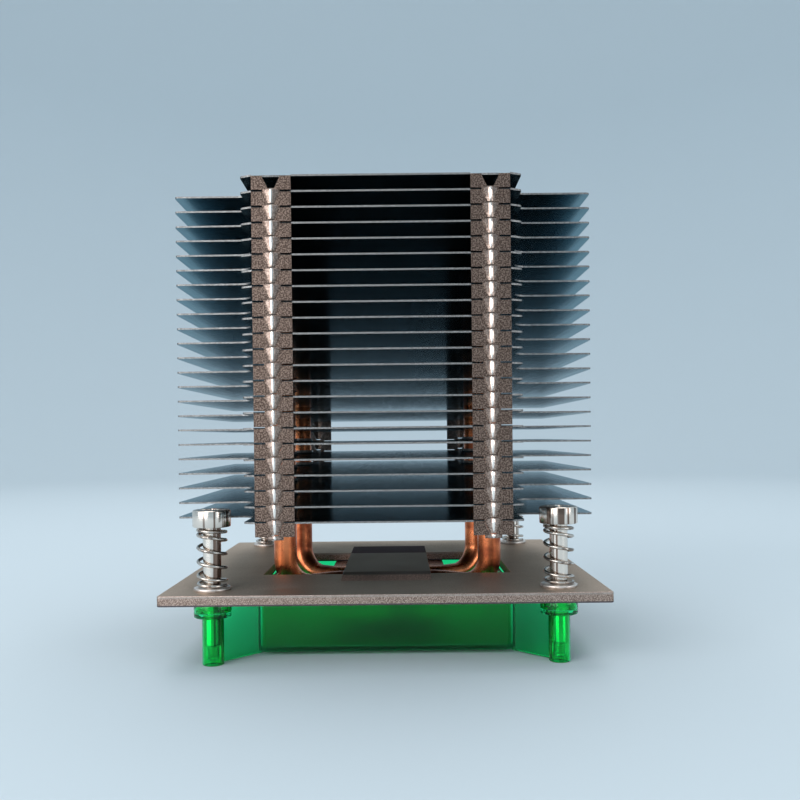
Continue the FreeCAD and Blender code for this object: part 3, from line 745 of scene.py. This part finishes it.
# %% Functions that give the sheet its thickness and keep its creases
def apply_modifiers(helper):
    """A bmesh of what an object's modifiers make of it. The object is removed."""
    view = bpy.context.evaluated_depsgraph_get()
    bm = bmesh.new()
    pour_in(bm, bpy.data.meshes.new_from_object(helper.evaluated_get(view)))
    bpy.data.objects.remove(helper)
    return bm


def thicken(bm):
    """Turn a surface into a sheet with slightly broken edges, by two modifiers."""
    helper = put_in_scene("surface", make_mesh("surface", bm))
    thick = helper.modifiers.new("thickness", "SOLIDIFY")
    thick.thickness = SHEET
    thick.offset = -1
    edge = helper.modifiers.new("edges", "BEVEL")
    edge.width = SHEET_BREAK
    edge.segments = 1
    edge.limit_method = "ANGLE"
    edge.angle_limit = math.radians(50)
    return apply_modifiers(helper)


def crease_tongues(bm, top):
    """Let the light break at the shallow creases on both sides of each tongue's crest."""
    highest = top - FOLD_RADIUS - FOLD_MARGIN
    for edge in bm.edges:
        at = (edge.verts[0].co + edge.verts[1].co) / 2
        in_front = abs(at.y) > FRONT_EDGE - 0.02 * MM and at.z < highest
        beside_crest = CREASES_FROM < abs(abs(at.x) - COLUMN_X) < CREASES_TO
        if in_front and beside_crest and edge.is_manifold:
            edge.smooth = edge.smooth and edge.calc_face_angle(0) < math.radians(3)


# %% Make the fins
def make_quarter(top, side_y, tongue_length):
    quarter = bmesh.new()
    blank_quarter(quarter, top)
    hole_x, hole_y = PIPE_HOLES[side_y]
    open_pipe_hole(quarter, Vector((hole_x, -hole_y, top)))
    add_flange(quarter, top, tongue_length)
    bmesh.ops.scale(quarter, vec=(1, -side_y, 1), verts=quarter.verts)
    return make_mesh("quarter", quarter)


def make_fin(name, dice):
    top = fin_tops[name]
    tongue_length = LOWEST_TONGUE if name == "fin_01" else NOTCH_DEPTH
    bm = bmesh.new()
    for side_y in (-1, 1):
        pour_in(bm, make_quarter(top, side_y, tongue_length))
    bmesh.ops.mirror(bm, geom=whole(bm), axis="X", merge_dist=1e-6)
    face_outwards(bm, 0.005 * MM)
    largest = max(bm.faces, key=lambda face: face.calc_area())
    if largest.normal.z < 0:
        bmesh.ops.reverse_faces(bm, faces=bm.faces)
    for side in (-1, 1):
        droop = dice.uniform(0.0, 0.10) * MM
        wing = [vert for vert in bm.verts if vert.co.x * side > WING_ROOT]
        bmesh.ops.translate(bm, verts=wing, vec=(0, 0, -droop))
    solid = thicken(bm)
    mark_sharp(solid, 30)
    flatten_large(solid)
    crease_tongues(solid, top)
    return finish_piece(name + "_sheet", solid, fin_finish, "heatsink", [name])


dice = random.Random(23)
fins = [make_fin(name, dice) for name in fin_names]
print("fins:", len(fins), "faces in one:", len(fins[0].data.polygons))


# %% [markdown]
# ## Heat pipes
#
# A heat pipe is a copper tube, sealed at both ends, with its wick and a little water inside. It is
# bent cold: out of the block in a flat sweep and then up through the fins in a tight elbow. Half a
# pipe is pushed and bent from one circle, and the mirror makes the other half.

# %% The sizes of the pipes
PIPE_RADIUS = 3.0 * MM
RUN_X = 13.5 * MM
RUN_Y = 3.4 * MM
RUN_Z = 12.5 * MM
SWEEP = 10.0 * MM
ELBOW = 8.0 * MM
PIPE_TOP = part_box("heat_pipe_front")[1].z
PIPE_END = ((0.955, 0.3), (0.88, 0.3), (0.72, 0.3), (0.6, 0.2), (0.5, 0.1))
PIPE_END_HEIGHT = 1.2 * MM
UP = Vector((0, 0, 1))


# %% Build the two pipes
def make_pipe(name, side_y):
    leg_x, leg_y = PIPE_HOLES[side_y]
    start = Vector((RUN_X, side_y * RUN_Y, RUN_Z))
    foot = Vector((leg_x, side_y * leg_y, RUN_Z))
    way = (foot - start).normalized()
    turn = way.angle(Vector((1, 0, 0)))
    tangent = SWEEP * math.tan(turn / 2)
    bm = bmesh.new()
    first = Matrix.Translation((0, start.y, RUN_Z)) @ Matrix.Rotation(math.pi / 2, 4, "Y")
    circle = bmesh.ops.create_circle(bm, segments=40, radius=PIPE_RADIUS, matrix=first)["verts"]
    ring = push(bm, edges_at(circle), (start.x - tangent, 0, 0))
    middle = Vector((start.x - tangent, start.y + side_y * SWEEP, RUN_Z))
    ring = bend(bm, ring, middle, (0, 0, side_y), turn, 8)
    straight = (foot - start).length - tangent - ELBOW
    ring = push(bm, ring, way * straight)
    middle = foot - way * ELBOW + UP * ELBOW
    ring = bend(bm, ring, middle, way.cross(UP), math.pi / 2, 14)
    ring = push(bm, ring, UP * (PIPE_TOP - PIPE_END_HEIGHT - RUN_Z - ELBOW))
    head = Vector((foot.x, foot.y, 0))
    for factor, rise in PIPE_END:
        ring = widen(bm, ring, head, factor, UP * rise * MM)
    close(bm, ring)
    bmesh.ops.mirror(bm, geom=whole(bm), axis="X", merge_dist=1e-6)
    face_outwards(bm, 0.002 * MM)
    mark_sharp(bm, 40)
    return finish_piece(name + "_tube", bm, pipe_finish, "heatsink", [name])


for name, side_y in (("heat_pipe_front", -1), ("heat_pipe_rear", 1)):
    pipe = make_pipe(name, side_y)
    print(name, "faces:", len(pipe.data.polygons))


# %% [markdown]
# ## Plate and contact block
#
# The punched plate and the milled block already have their full shape in the frame. What is
# missing is the small round that every real edge has, and that catches the light. So these pieces
# are copies of their solids: the loose triangles are merged, flat ones joined, and the sharp edges
# bevelled.

# %% A function that rounds the edges of a solid's copy
def soften_solid(name, node, material, width):
    bm = bmesh.new()
    bm.from_mesh(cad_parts[node].data)
    bmesh.ops.remove_doubles(bm, verts=bm.verts, dist=0.002 * MM)
    bmesh.ops.dissolve_limit(bm, angle_limit=math.radians(1), verts=bm.verts, edges=bm.edges)
    edges = [edge for edge in bm.edges
             if edge.is_manifold and edge.calc_face_angle() > math.radians(30)]
    bmesh.ops.bevel(bm, geom=edges, offset=width, segments=2, profile=0.5,
                    affect="EDGES", clamp_overlap=True, material=-1)
    face_outwards(bm)
    mark_sharp(bm, 25)
    flatten_large(bm)
    return finish_piece(name, bm, material, "heatsink", [node])


plate = soften_solid("plate_pressing", "mounting_plate", plate_finish, 0.14 * MM)
block = soften_solid("block_milling", "contact_block", block_finish, 0.2 * MM)
print("plate faces:", len(plate.data.polygons), "block faces:", len(block.data.polygons))


# %% [markdown]
# ## Turned parts
#
# A lathe makes a screw, a washer or a sleeve by turning it about an axis, and `spin` does the same
# with a profile. The profile is a short list of radius and height pairs.

# %% A function that turns a profile
def revolve(bm, axis, profile, closed=False, steps=48):
    verts = [bm.verts.new((axis.x + radius, axis.y, height)) for radius, height in profile]
    edges = [bm.edges.new(pair) for pair in zip(verts, verts[1:])]
    if closed:
        edges.append(bm.edges.new((verts[-1], verts[0])))
    bmesh.ops.spin(bm, geom=verts + edges, cent=axis, axis=(0, 0, 1), dvec=(0, 0, 0),
                   angle=2 * math.pi, steps=steps, use_merge=True, use_duplicate=False)


def in_millimetres(profile):
    return [(radius * MM, height * MM) for radius, height in profile]


# %% [markdown]
# ## Captive screws
#
# The screw stays with the cooler: its shank passes the plate, a clip in the neck groove holds it
# and a spring lifts the head. The head is turned with a chamfer, and a cross recess is pressed in.
# For the recess the flat top is ruled into cells, and the cells under the cross are pushed down.

# %% The screw's sizes
HEAD_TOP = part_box("captive_screw_front_left")[1].z
HEAD_BASE = HEAD_TOP - 3.95 * MM
SCREW_PROFILE = in_millimetres([
    (0.9, 1.2), (1.22, 1.5), (1.22, 4.3), (1.75, 4.5), (1.95, 4.75), (1.95, 14.1), (1.85, 14.3),
    (1.45, 14.3), (1.45, 14.8), (1.85, 14.8), (1.95, 15.0), (1.95, 20.0), (2.05, 20.1),
    (2.05, 31.8), (4.1, 31.8), (4.28, 31.87), (4.36, 32.05), (4.36, 35.3), (4.28, 35.54),
    (4.1, 35.7), (3.85, 35.75),
])
CROSS_HALF = 0.55 * MM
CROSS_REACH = 2.5 * MM
CROSS_DEPTH = 2.2 * MM
CROSS_TAPER = 0.72
THREAD_RIDGE = in_millimetres([(1.2, 1.62), (1.5, 1.82), (1.2, 2.02)])
THREAD_PITCH = 0.5 * MM
THREAD_TURNS, THREAD_STEPS = 5, 24
print("screw head:", round((HEAD_TOP - HEAD_BASE) / MM, 2), "mm high")


# %% Functions that press the recess and cut the thread
def press_recess(bm, axis, top):
    """Rule the flat top into cells and push the cross-shaped ones down."""
    for at in (-CROSS_REACH, -CROSS_HALF, CROSS_HALF, CROSS_REACH):
        for normal in (Vector((1, 0, 0)), Vector((0, 1, 0))):
            cap = [face for face in bm.faces if lies_level(face, top)]
            region = [item for face in cap for item in (*face.verts, *face.edges, face)]
            bmesh.ops.bisect_plane(bm, geom=list(dict.fromkeys(region)), dist=1e-8,
                                   plane_co=axis + normal * at, plane_no=normal)
    cross = []
    for face in bm.faces:
        centre = face.calc_center_median() - axis
        near, far = sorted((abs(centre.x), abs(centre.y)))
        if lies_level(face, top) and near < CROSS_HALF and far < CROSS_REACH:
            cross.append(face)
    made = bmesh.ops.extrude_face_region(bm, geom=cross)["geom"]
    floor = verts_in(made)
    bmesh.ops.translate(bm, verts=floor, vec=(0, 0, -CROSS_DEPTH))
    bmesh.ops.scale(bm, vec=(CROSS_TAPER, CROSS_TAPER, 1), verts=floor,
                    space=Matrix.Translation(-axis))
    bmesh.ops.delete(bm, geom=[face for face in cross if face.is_valid], context="FACES_ONLY")


def cut_thread(bm, axis):
    """A three-cornered ridge wound round the thin end of the shank."""
    verts = [bm.verts.new((axis.x + radius, axis.y, height)) for radius, height in THREAD_RIDGE]
    edges = [bm.edges.new((verts[i], verts[i - 1])) for i in range(3)]
    close(bm, edges)
    ring = bend(bm, edges, axis, (0, 0, 1), 2 * math.pi * THREAD_TURNS,
                THREAD_STEPS * THREAD_TURNS, THREAD_PITCH / THREAD_STEPS)
    close(bm, ring)


# %% Make the screws
def make_screw(corner):
    axis = screw_axis[corner]
    bm = bmesh.new()
    revolve(bm, axis, SCREW_PROFILE)
    rims = [edge for edge in bm.edges if edge.is_boundary]
    bmesh.ops.holes_fill(bm, edges=rims, sides=0)
    press_recess(bm, axis, HEAD_TOP)
    cut_thread(bm, axis)
    face_outwards(bm)
    mark_sharp(bm, 24)
    return finish_piece("screw_" + corner, bm, screw_finish, "screw_" + corner,
                        ["captive_screw_" + corner])


for corner in SIDES:
    screw = make_screw(corner)
print("faces in one screw:", len(screw.data.polygons))


# %% [markdown]
# ## Springs
#
# A compression spring is wound from round wire: closed turns at both ends, so that it stands flat,
# and open turns between. `spin` winds it when every step also climbs a little. These are wound
# left-handed, so the angle is negative. The pitch changes in stages, as on a coiling machine.

# %% Wind the springs
SPRING_BASE = 17.9 * MM
WIRE = 0.75 * MM
COIL_RADIUS = 3.55 * MM - WIRE / 2
LOW_PITCH, HIGH_PITCH, EASE_PITCH = 0.9 * MM, 1.1 * MM, 2.0 * MM
OPEN_TURNS = 3
climb = HEAD_BASE - SPRING_BASE - WIRE
OPEN_PITCH = (climb - 0.75 * LOW_PITCH - 0.75 * EASE_PITCH - 1.25 * HIGH_PITCH) / OPEN_TURNS
WINDING = ((0.75, LOW_PITCH), (0.5, EASE_PITCH), (OPEN_TURNS, OPEN_PITCH), (0.25, EASE_PITCH),
           (1.25, HIGH_PITCH))
print("open pitch:", round(OPEN_PITCH / MM, 2))


def make_spring(corner):
    axis = screw_axis[corner]
    bm = bmesh.new()
    start = Vector((axis.x + COIL_RADIUS, axis.y, SPRING_BASE + WIRE / 2))
    upright = Matrix.Translation(start) @ Matrix.Rotation(math.pi / 2, 4, "X")
    ring = edges_at(bmesh.ops.create_circle(bm, cap_ends=True, segments=12, radius=WIRE / 2,
                                            matrix=upright)["verts"])
    for turns, pitch in WINDING:
        steps = int(24 * turns)
        ring = bend(bm, ring, axis, (0, 0, 1), -2 * math.pi * turns, steps, pitch * turns / steps)
    close(bm, ring)
    face_outwards(bm)
    mark_sharp(bm, 50)
    spring = finish_piece("spring_" + corner, bm, spring_finish, "heatsink",
                          ["screw_spring_" + corner])
    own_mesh(spring)
    return spring


for corner in SIDES:
    spring = make_spring(corner)
print("faces in one spring:", len(spring.data.polygons))


# %% [markdown]
# ## Washers and clips
#
# The four washers are one subpart of the frame, so they are one mesh here too. They are stamped,
# with a rolled edge on top. The clips are open rings, pushed into the neck groove from the side:
# a full ring is turned first, and two cuts then take out its mouth.

# %% Make the washers and the clips
def make_washers():
    bm = bmesh.new()
    profile = in_millimetres([
        (2.15, 17.3), (2.25, 17.2), (4.15, 17.2), (4.25, 17.3), (4.25, 17.7), (4.2, 17.84),
        (4.05, 17.9), (2.35, 17.9), (2.21, 17.85), (2.15, 17.72),
    ])
    for corner in SIDES:
        revolve(bm, screw_axis[corner], profile, closed=True)
    face_outwards(bm)
    mark_sharp(bm, 50)
    return finish_piece("washer_set", bm, washer_finish, "heatsink",
                        ["spring_washers"])


CLIP_INNER, CLIP_OUTER = 1.55 * MM, 3.5 * MM
CLIP_ROUND = 0.1 * MM
MOUTH_HALF = 1.1 * MM


def make_clip(corner):
    axis = screw_axis[corner]
    side_y = SIDES[corner][1]
    low, high = (edge.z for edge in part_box("retaining_ring_" + corner))
    profile = [
        (CLIP_INNER, low + CLIP_ROUND), (CLIP_INNER + CLIP_ROUND, low),
        (CLIP_OUTER - CLIP_ROUND, low), (CLIP_OUTER, low + CLIP_ROUND),
        (CLIP_OUTER, high - CLIP_ROUND), (CLIP_OUTER - CLIP_ROUND, high),
        (CLIP_INNER + CLIP_ROUND, high), (CLIP_INNER, high - CLIP_ROUND),
    ]
    bm = bmesh.new()
    revolve(bm, axis, profile, closed=True)
    bmesh.ops.remove_doubles(bm, verts=bm.verts, dist=0.001 * MM)
    for side_x in (-1, 1):
        rule_line(bm, axis + Vector((side_x * MOUTH_HALF, 0, 0)), (1, 0, 0))
    mouth = []
    for face in bm.faces:
        centre = face.calc_center_median() - axis
        if abs(centre.x) < MOUTH_HALF and centre.y * side_y > 0:
            mouth.append(face)
    bmesh.ops.delete(bm, geom=mouth, context="FACES")
    bmesh.ops.holes_fill(bm, edges=[edge for edge in bm.edges if edge.is_boundary], sides=0)
    face_outwards(bm)
    mark_sharp(bm, 50)
    return finish_piece("clip_" + corner, bm, ring_finish, "clip_" + corner,
                        ["retaining_ring_" + corner])


washers = make_washers()
for corner in SIDES:
    clip = make_clip(corner)
print("faces: washers", len(washers.data.polygons), "one clip", len(clip.data.polygons))


# %% [markdown]
# ## Cover
#
# The cover is one clear moulding: a tray that keeps the contact face clean, and at each corner a
# web that ends in a sleeve for the screw. Clear plastic shows every wall, so the parts must not
# merely overlap: booleans make one skin of them. The tray is hollowed first, and then each corner
# adds its web and its sleeve. The sleeve is turned hollow, with its bore in the profile, so that
# no later cut has to pass through a join. Each end of a web lies well inside the wall that it
# meets, and its top a little below the rim, because a boolean is unsure where two faces coincide.

# %% Functions for the parts of the cover
COVER_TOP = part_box("protective_cover")[1].z
TRAY_HALF_X = 31.2 * MM
TRAY_HALF_Y = 33.7 * MM
TRAY_BASE = 0.8 * MM
TRAY_WALL, TRAY_FLOOR = 1.0 * MM, 1.2 * MM
WEB_HALF = 0.5 * MM
WEB_ROOT = 1.2 * MM
WEB_FOOT = 0.3 * MM
WEB_STEP = 11.6 * MM
WEB_TOP = COVER_TOP - 0.02 * MM
SLEEVE_WALL = 2.3 * MM
COLLAR_WALL = 4.05 * MM


def scratch(name, bm):
    """A helper object that a boolean uses and that is removed afterwards."""
    face_outwards(bm)
    return put_in_scene(name, make_mesh(name, bm))


def rounded_box(low, high, upright, floor):
    """A box with its upright edges and its bottom edges rounded."""
    bm = bmesh.new()
    middle = (low + high) / 2
    size = high - low
    bmesh.ops.create_cube(bm, size=1, matrix=Matrix.Translation(middle)
                          @ Matrix.Diagonal((*size, 1)))
    tall = [edge for edge in bm.edges
            if abs(edge.verts[0].co.z - edge.verts[1].co.z) > size.z / 2]
    bmesh.ops.bevel(bm, geom=tall, offset=upright, segments=5, profile=0.5, affect="EDGES",
                    material=-1)
    bottom = [edge for edge in bm.edges if all(vert.co.z < low.z + 1e-7 for vert in edge.verts)]
    bmesh.ops.bevel(bm, geom=bottom, offset=floor, segments=4, profile=0.5, affect="EDGES",
                    material=-1)
    return bm


def make_web(side_x, side_y, axis):
    """The wall from the corner of the tray into the walls of the sleeve and its wide collar."""
    inner = Vector((side_x * (TRAY_HALF_X - WEB_ROOT), side_y * (TRAY_HALF_Y - WEB_ROOT), 0))
    way = axis - inner
    into_sleeve, into_collar = way.length - SLEEVE_WALL, way.length - COLLAR_WALL
    corners = [(0, TRAY_BASE), (into_sleeve, WEB_FOOT), (into_sleeve, WEB_STEP),
               (into_collar, WEB_STEP), (into_collar, WEB_TOP), (0, WEB_TOP)]
    bm = bmesh.new()
    side = bm.faces.new([bm.verts.new((x, -WEB_HALF, z)) for x, z in corners])
    made = bmesh.ops.extrude_face_region(bm, geom=[side])["geom"]
    bmesh.ops.translate(bm, verts=verts_in(made), vec=(0, 2 * WEB_HALF, 0))
    turn = Matrix.Rotation(math.atan2(way.y, way.x), 3, "Z")
    bmesh.ops.rotate(bm, verts=bm.verts, cent=(0, 0, 0), matrix=turn)
    bmesh.ops.translate(bm, verts=bm.verts, vec=inner)
    return bm


# %% Hollow the tray and join the webs and sleeves to it
SLEEVE_PROFILE = in_millimetres([
    (2.18, 0.0), (2.3, 0.0), (2.46, 0.12), (2.5, 0.4), (2.5, 10.6), (2.7, 10.95), (3.1, 11.05),
    (4.0, 11.05), (4.25, 11.2), (4.3, 11.5), (4.3, 14.6), (4.2, 14.8), (3.85, 14.8),
    (3.85, 12.3), (3.7, 12.1), (2.15, 12.1), (2.15, 0.15),
])


def make_cover():
    low = Vector((-TRAY_HALF_X, -TRAY_HALF_Y, TRAY_BASE))
    high = Vector((TRAY_HALF_X, TRAY_HALF_Y, COVER_TOP))
    tray = scratch("tray", rounded_box(low, high, 2.4 * MM, 0.9 * MM))
    inner_low = low + Vector((TRAY_WALL, TRAY_WALL, TRAY_FLOOR))
    inner_high = high + Vector((-TRAY_WALL, -TRAY_WALL, 2.0 * MM))
    hollow = scratch("hollow", rounded_box(inner_low, inner_high, 1.5 * MM, 0.5 * MM))
    steps = [("DIFFERENCE", hollow)]
    for corner, (side_x, side_y) in SIDES.items():
        axis = screw_axis[corner]
        steps.append(("UNION", scratch("web", make_web(side_x, side_y, axis))))
        bm = bmesh.new()
        revolve(bm, axis, SLEEVE_PROFILE, closed=True, steps=40)
        steps.append(("UNION", scratch("sleeve", bm)))
    for operation, helper in steps:
        join = tray.modifiers.new("join", "BOOLEAN")
        join.operation = operation
        join.solver = "EXACT"
        join.object = helper
    bm = apply_modifiers(tray)
    for operation, helper in steps:
        bpy.data.objects.remove(helper)
    bmesh.ops.dissolve_limit(bm, angle_limit=math.radians(0.5), verts=bm.verts, edges=bm.edges)
    face_outwards(bm, 0.002 * MM)
    mark_sharp(bm, 32)
    flatten_large(bm)
    return finish_piece("cover_moulding", bm, cover_finish, "heatsink",
                        ["protective_cover"])


cover = make_cover()
print("cover faces:", len(cover.data.polygons))


# %% [markdown]
# ## Studio
#
# The object stands in a plain, pale, slightly cool bowl: a floor that curves up into a wall all
# round, so there is no horizon line from any side. The light is soft and comes mostly from the
# left, with the open sky of the studio above. The bowl is not part of the object.

# %% Make the bowl
PALE = (0.62, 0.70, 0.75)
BOWL_RADIUS, BOWL_CURVE, BOWL_HEIGHT = 1.6, 0.7, 1.1


def make_paper():
    finish = Finish("floor_paper", metallic=0.0)
    finish.shader.inputs["Base Color"].default_value = (*PALE, 1)
    finish.shader.inputs["Roughness"].default_value = 0.9
    return finish.material


def make_bowl():
    bm = bmesh.new()
    middle = bm.verts.new((0, 0, 0))
    rim = bm.verts.new((BOWL_RADIUS - BOWL_CURVE, 0, 0))
    bm.edges.new((middle, rim))
    turned = bmesh.ops.spin(bm, geom=[rim], cent=(BOWL_RADIUS - BOWL_CURVE, 0, BOWL_CURVE),
                            axis=(0, -1, 0), dvec=(0, 0, 0), angle=math.pi / 2,
                            steps=16)["geom_last"]
    risen = bmesh.ops.extrude_vert_indiv(bm, verts=verts_in(turned))["verts"]
    bmesh.ops.translate(bm, verts=risen, vec=(0, 0, BOWL_HEIGHT - BOWL_CURVE))
    bmesh.ops.spin(bm, geom=bm.verts[:] + bm.edges[:], cent=(0, 0, 0), axis=(0, 0, 1),
                   dvec=(0, 0, 0), angle=2 * math.pi, steps=64, use_merge=True)
    bmesh.ops.remove_doubles(bm, verts=bm.verts, dist=0.01 * MM)
    for face in bm.faces:
        face.smooth = True
    bowl = put_in_scene("bowl", make_mesh("bowl", bm))
    bowl.data.materials.append(make_paper())
    return bowl


bowl = make_bowl()
print("bowl size:", [round(side, 2) for side in bowl.dimensions])


# %% Light it
def add_panel(name, place, size, power, aim):
    data = bpy.data.lights.new(name, "AREA")
    data.shape = "RECTANGLE"
    data.size, data.size_y = size
    data.energy = power
    panel = put_in_scene(name, data)
    panel.location = place
    panel.visible_camera = False
    panel.rotation_euler = (Vector(aim) - Vector(place)).to_track_quat("-Z", "Y").to_euler()


add_panel("left_panel", (-0.58, -0.64, 0.34), (0.9, 0.64), 5.5, (0, 0, 0.2))
add_panel("right_panel", (0.64, -0.50, 0.21), (0.34, 0.36), 0.9, (0, 0, 0.1))
add_panel("top_panel", (0.0, 0.3, 1.1), (1.0, 1.0), 5.0, (0, 0, 0.06))

world = bpy.data.worlds.new("surroundings")
world.use_nodes = True
background = world.node_tree.nodes["Background"]
background.inputs["Color"].default_value = (*PALE, 1)
background.inputs["Strength"].default_value = 0.9
bpy.context.scene.world = world
